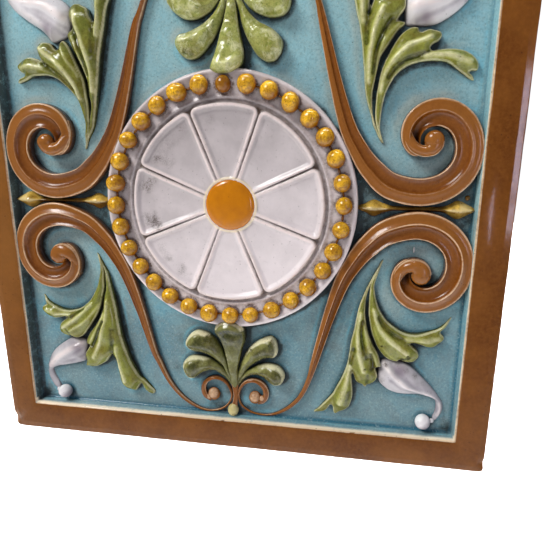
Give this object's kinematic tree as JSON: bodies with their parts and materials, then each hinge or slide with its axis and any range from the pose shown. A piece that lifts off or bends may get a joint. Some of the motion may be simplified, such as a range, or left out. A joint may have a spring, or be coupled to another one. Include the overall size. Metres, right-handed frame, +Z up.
{
  "type": "relief wall tile",
  "caption": "Square majolica wall tile in low relief: a beaded daisy rosette between scrolls, leaf sprays, buds and palmettes on a sunk ground inside a raised border.",
  "frame": {"origin": "centre of the flat back, where the tile meets the wall", "axes": "+Y out of the back, into the wall; the face looks along -Y; +Z up as the tile hangs"},
  "size_m": [0.2032, 0.019, 0.2032],
  "materials": {
    "glazes": "coloured majolica glazes, glossy"
  },
  "bodies": {
    "root": {"tile": "glazes"}
  },
  "joints": []
}
